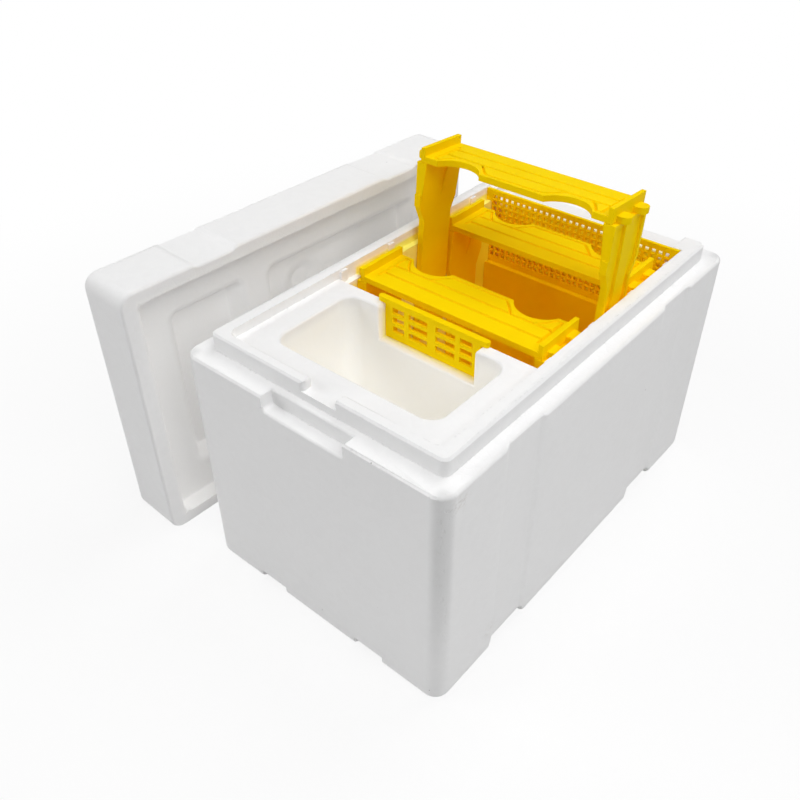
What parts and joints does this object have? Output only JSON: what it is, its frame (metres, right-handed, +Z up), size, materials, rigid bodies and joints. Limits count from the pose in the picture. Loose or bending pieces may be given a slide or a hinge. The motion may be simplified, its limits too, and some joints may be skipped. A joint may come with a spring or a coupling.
{
  "type": "foam hive box",
  "caption": "White foam mating hive box with a feeder trough, yellow plastic lift-out frames, feeder grille, vent panel and entrance shutter; its foam lid stands beside it.",
  "frame": {"origin": "middle of the box's underside, on the surface that the box and the lid stand on", "axes": "+Z up; +Y along the box from the feeder end to the entrance end; +X across it, away from the lid"},
  "size_m": [0.2177, 0.258, 0.1907],
  "materials": {
    "foam": "matte",
    "yellow_plastic": "satin"
  },
  "bodies": {
    "box": {"hive_body": "foam"},
    "lid": {"lid": "foam"},
    "feeder_grille": {"feeder_grille": "yellow_plastic"},
    "vent_panel": {"vent_panel": "yellow_plastic"},
    "entrance_shutter": {"entrance_shutter": "yellow_plastic"},
    "front_frame": {"front_frame_top_bar": "yellow_plastic", "front_frame_left_arm": "yellow_plastic", "front_frame_right_arm": "yellow_plastic"},
    "middle_frame": {"middle_frame_top_bar": "yellow_plastic", "middle_frame_left_arm": "yellow_plastic", "middle_frame_right_arm": "yellow_plastic"},
    "rear_frame": {"rear_frame_top_bar": "yellow_plastic", "rear_frame_left_arm": "yellow_plastic", "rear_frame_right_arm": "yellow_plastic"}
  },
  "joints": [
    {"name": "lid_lift", "type": "slide", "parent": "box", "child": "lid", "axis": [0, 0, 1], "range_m": [0, 0.16]},
    {"name": "grille_lift", "type": "slide", "parent": "box", "child": "feeder_grille", "axis": [0, 0, 1], "range_m": [0, 0.03]},
    {"name": "vent_panel_lift", "type": "slide", "parent": "box", "child": "vent_panel", "axis": [0, 0, 1], "range_m": [0, 0.13]},
    {"name": "shutter_lift", "type": "slide", "parent": "box", "child": "entrance_shutter", "axis": [0, 0, 1], "range_m": [0, 0.13]},
    {"name": "front_frame_lift", "type": "slide", "parent": "box", "child": "front_frame", "axis": [0, 0, 1], "range_m": [0, 0.13]},
    {"name": "rear_frame_lift", "type": "slide", "parent": "box", "child": "rear_frame", "axis": [0, 0, 1], "range_m": [0, 0.13]},
    {"name": "middle_frame_draw", "type": "slide", "parent": "rear_frame", "child": "middle_frame", "axis": [0, 0.2819, 0.9594], "range_m": [-0.0488, 0]}
  ]
}
